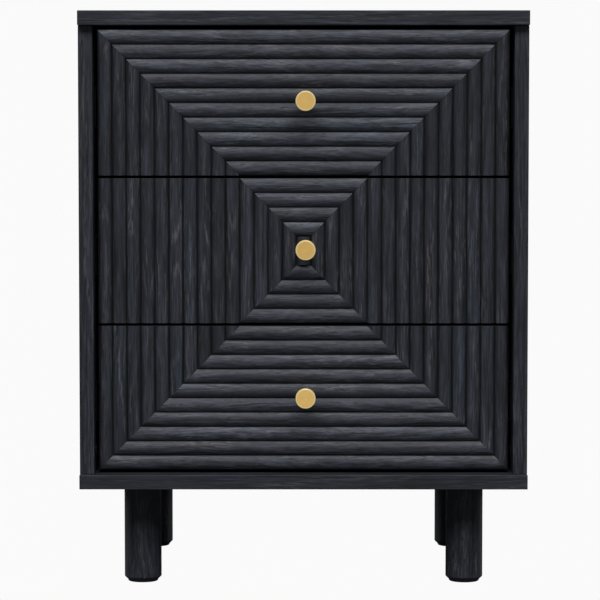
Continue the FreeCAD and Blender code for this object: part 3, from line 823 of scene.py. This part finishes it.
def finish_nodes():
    """Gives each CAD node that shows its material."""
    by_slot, by_ending = slot_materials(), ending_materials()
    slots = {part["node"]: part["material_slot"] for part in frame["record"]["subparts"]}
    for name, node in frame["nodes"].items():
        if node.hide_render:
            continue
        material = by_slot.get(slots[name])
        for ending, special in by_ending.items():
            if name.endswith(ending):
                material = special
        node.data.materials.clear()
        node.data.materials.append(material)


# ---------------------------------------------------------------- floor, lights and camera

def pale_for_camera(tree, shown, lit, output):
    """Shows one plain pale colour to the camera and gives other rays a dimmer one."""
    w = Wiring(tree)
    rays = w.add("LightPath").outputs["Is Camera Ray"]
    mixed = w.add("MixShader", {0: rays, 1: lit(w), 2: shown(w)})
    w.give(mixed.outputs[0], tree.nodes[output].inputs["Surface"])


def make_floor():
    deselect_all()
    bpy.ops.mesh.primitive_plane_add(size=STAGE_SIZE, location=(0, 0, 0))
    floor = name_new("studio_floor")
    paper = bpy.data.materials.new("studio_paper")
    paper.use_nodes = True
    paper.node_tree.nodes.remove(paper.node_tree.nodes["Principled BSDF"])
    pale_for_camera(paper.node_tree,
                    lambda w: w.add("Emission", {"Color": PAGE_WHITE, "Strength": 1.0}).outputs[0],
                    lambda w: w.add("BsdfDiffuse", {"Color": FLOOR_GREY}).outputs[0],
                    "Material Output")
    floor.data.materials.append(paper)


def make_surroundings():
    world = bpy.data.worlds.new("studio_air")
    bpy.context.scene.world = world
    world.use_nodes = True
    world.node_tree.nodes.remove(world.node_tree.nodes["Background"])
    pale_for_camera(world.node_tree,
                    lambda w: w.add("Background", {"Color": PAGE_WHITE, "Strength": 1.0}).outputs[0],
                    lambda w: w.add("Background", {"Color": SKY, "Strength": SKY_STRENGTH}).outputs[0],
                    "World Output")


def link_group(name, pieces, state):
    """A set of pieces that a light is limited to, or passes by."""
    group = bpy.data.collections.new(name)
    for piece in pieces:
        group.objects.link(piece)
    for entry in group.collection_objects:
        entry.light_linking.link_state = state
    return group


def turn_to(thing, place, target):
    """Puts a light or the camera at a place, looking at a target."""
    thing.location = place
    thing.rotation_euler = (Vector(target) - Vector(place)).to_track_quat("-Z", "Y").to_euler()
    bpy.context.scene.collection.objects.link(thing)


def area_light(name, place, target, size, energy):
    data = bpy.data.lights.new(name, "AREA")
    data.shape = "RECTANGLE"
    data.size, data.size_y = size
    data.energy = energy
    light = bpy.data.objects.new(name, data)
    turn_to(light, place, target)
    return light


def from_front(elevation, distance):
    """A place in front of the cabinet, seen from its middle at an elevation in degrees."""
    angle = math.radians(elevation)
    return (MIDDLE[0], MIDDLE[1] - distance * math.cos(angle), MIDDLE[2] + distance * math.sin(angle))


def light_reeds(reeds):
    """A large light above for each reeded front alone, which the top panel doesn't hold back."""
    no_top_shadow = link_group("top_lets_through", [frame["nodes"]["top_panel"]], "EXCLUDE")
    for drawer, front in zip(DRAWERS, reeds):
        light = area_light(drawer + "_reed_key", from_front(56, 15), MIDDLE, (21.0, 10.0),
                           REED_KEY_SHARES[drawer] * REED_KEY_POWER)
        light.light_linking.receiver_collection = link_group(drawer + "_reeds_only", [front], "INCLUDE")
        light.light_linking.blocker_collection = no_top_shadow


def light_low_front(knob):
    """A small light near the floor for the bottom panel's edge and the lowest knob."""
    light = area_light("low_fill", (0, -0.85, 0.06), (0, -0.17, 0.15), (0.9, 0.1), LOW_FILL_POWER)
    light.visible_camera = False
    light.light_linking.receiver_collection = link_group(
        "low_front", [knob, frame["nodes"]["bottom_panel"]], "INCLUDE")


def make_lights(reeds, knobs):
    key = area_light("key_above", from_front(51, 14), MIDDLE, (13.0, 5.5), KEY_POWER)
    key.light_linking.receiver_collection = link_group("all_but_reeds", reeds, "EXCLUDE")
    light_reeds(reeds)
    area_light("front_fill", (0.0, -4.4, 0.9), (0, 0, 0.4), (3.6, 2.4), FRONT_FILL_POWER)
    light_low_front(knobs[0])
    area_light("back_left", (-2.6, 1.9, 1.7), (0, 0, 0.3), (1.8, 1.8), BACK_POWER)
    area_light("back_right", (2.6, 1.9, 1.7), (0, 0, 0.3), (1.8, 1.8), BACK_POWER)


def make_camera():
    data = bpy.data.cameras.new("camera")
    data.sensor_width = 36.0
    data.lens = CAMERA_LENS
    data.clip_end = 100
    camera = bpy.data.objects.new("camera", data)
    turn_to(camera, CAMERA_PLACE, CAMERA_AIM)
    bpy.context.scene.camera = camera


bpy.context.scene.view_settings.view_transform = "Standard"
make_camera()
make_floor()
make_surroundings()
make_lights(make_reeds(), make_knobs())
make_legs()
finish_nodes()
